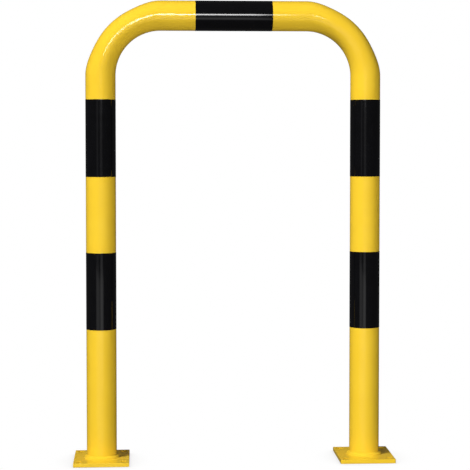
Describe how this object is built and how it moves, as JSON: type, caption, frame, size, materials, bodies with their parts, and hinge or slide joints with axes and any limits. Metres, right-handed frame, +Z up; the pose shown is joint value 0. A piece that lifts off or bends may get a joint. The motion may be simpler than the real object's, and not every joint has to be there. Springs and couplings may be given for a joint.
{
  "type": "steel hoop guard",
  "caption": "Upside-down U of bent round steel tube, welded to flat base plates with anchor holes, yellow with black warning bands; guards a door, rack end or pipe from vehicles.",
  "frame": {"origin": "on the floor, midway between the two feet, under the middle of the top bar", "axes": "+Z up, X across the hoop from the left foot to the right foot, +Y through the hoop towards the back, where the film laps are"},
  "size_m": [0.8138, 0.16, 1.1703],
  "materials": {
    "yellow_powder_coat": "satin zinc-yellow powder coat over steel",
    "black_film": "semi-gloss black self-adhesive vinyl film"
  },
  "bodies": {
    "root": {"hoop_tube": "yellow_powder_coat", "base_plate_left": "yellow_powder_coat", "base_plate_right": "yellow_powder_coat", "weld_left": "yellow_powder_coat", "weld_right": "yellow_powder_coat", "band_left_lower": "black_film", "band_left_upper": "black_film", "band_top": "black_film", "band_right_upper": "black_film", "band_right_lower": "black_film"}
  },
  "joints": []
}
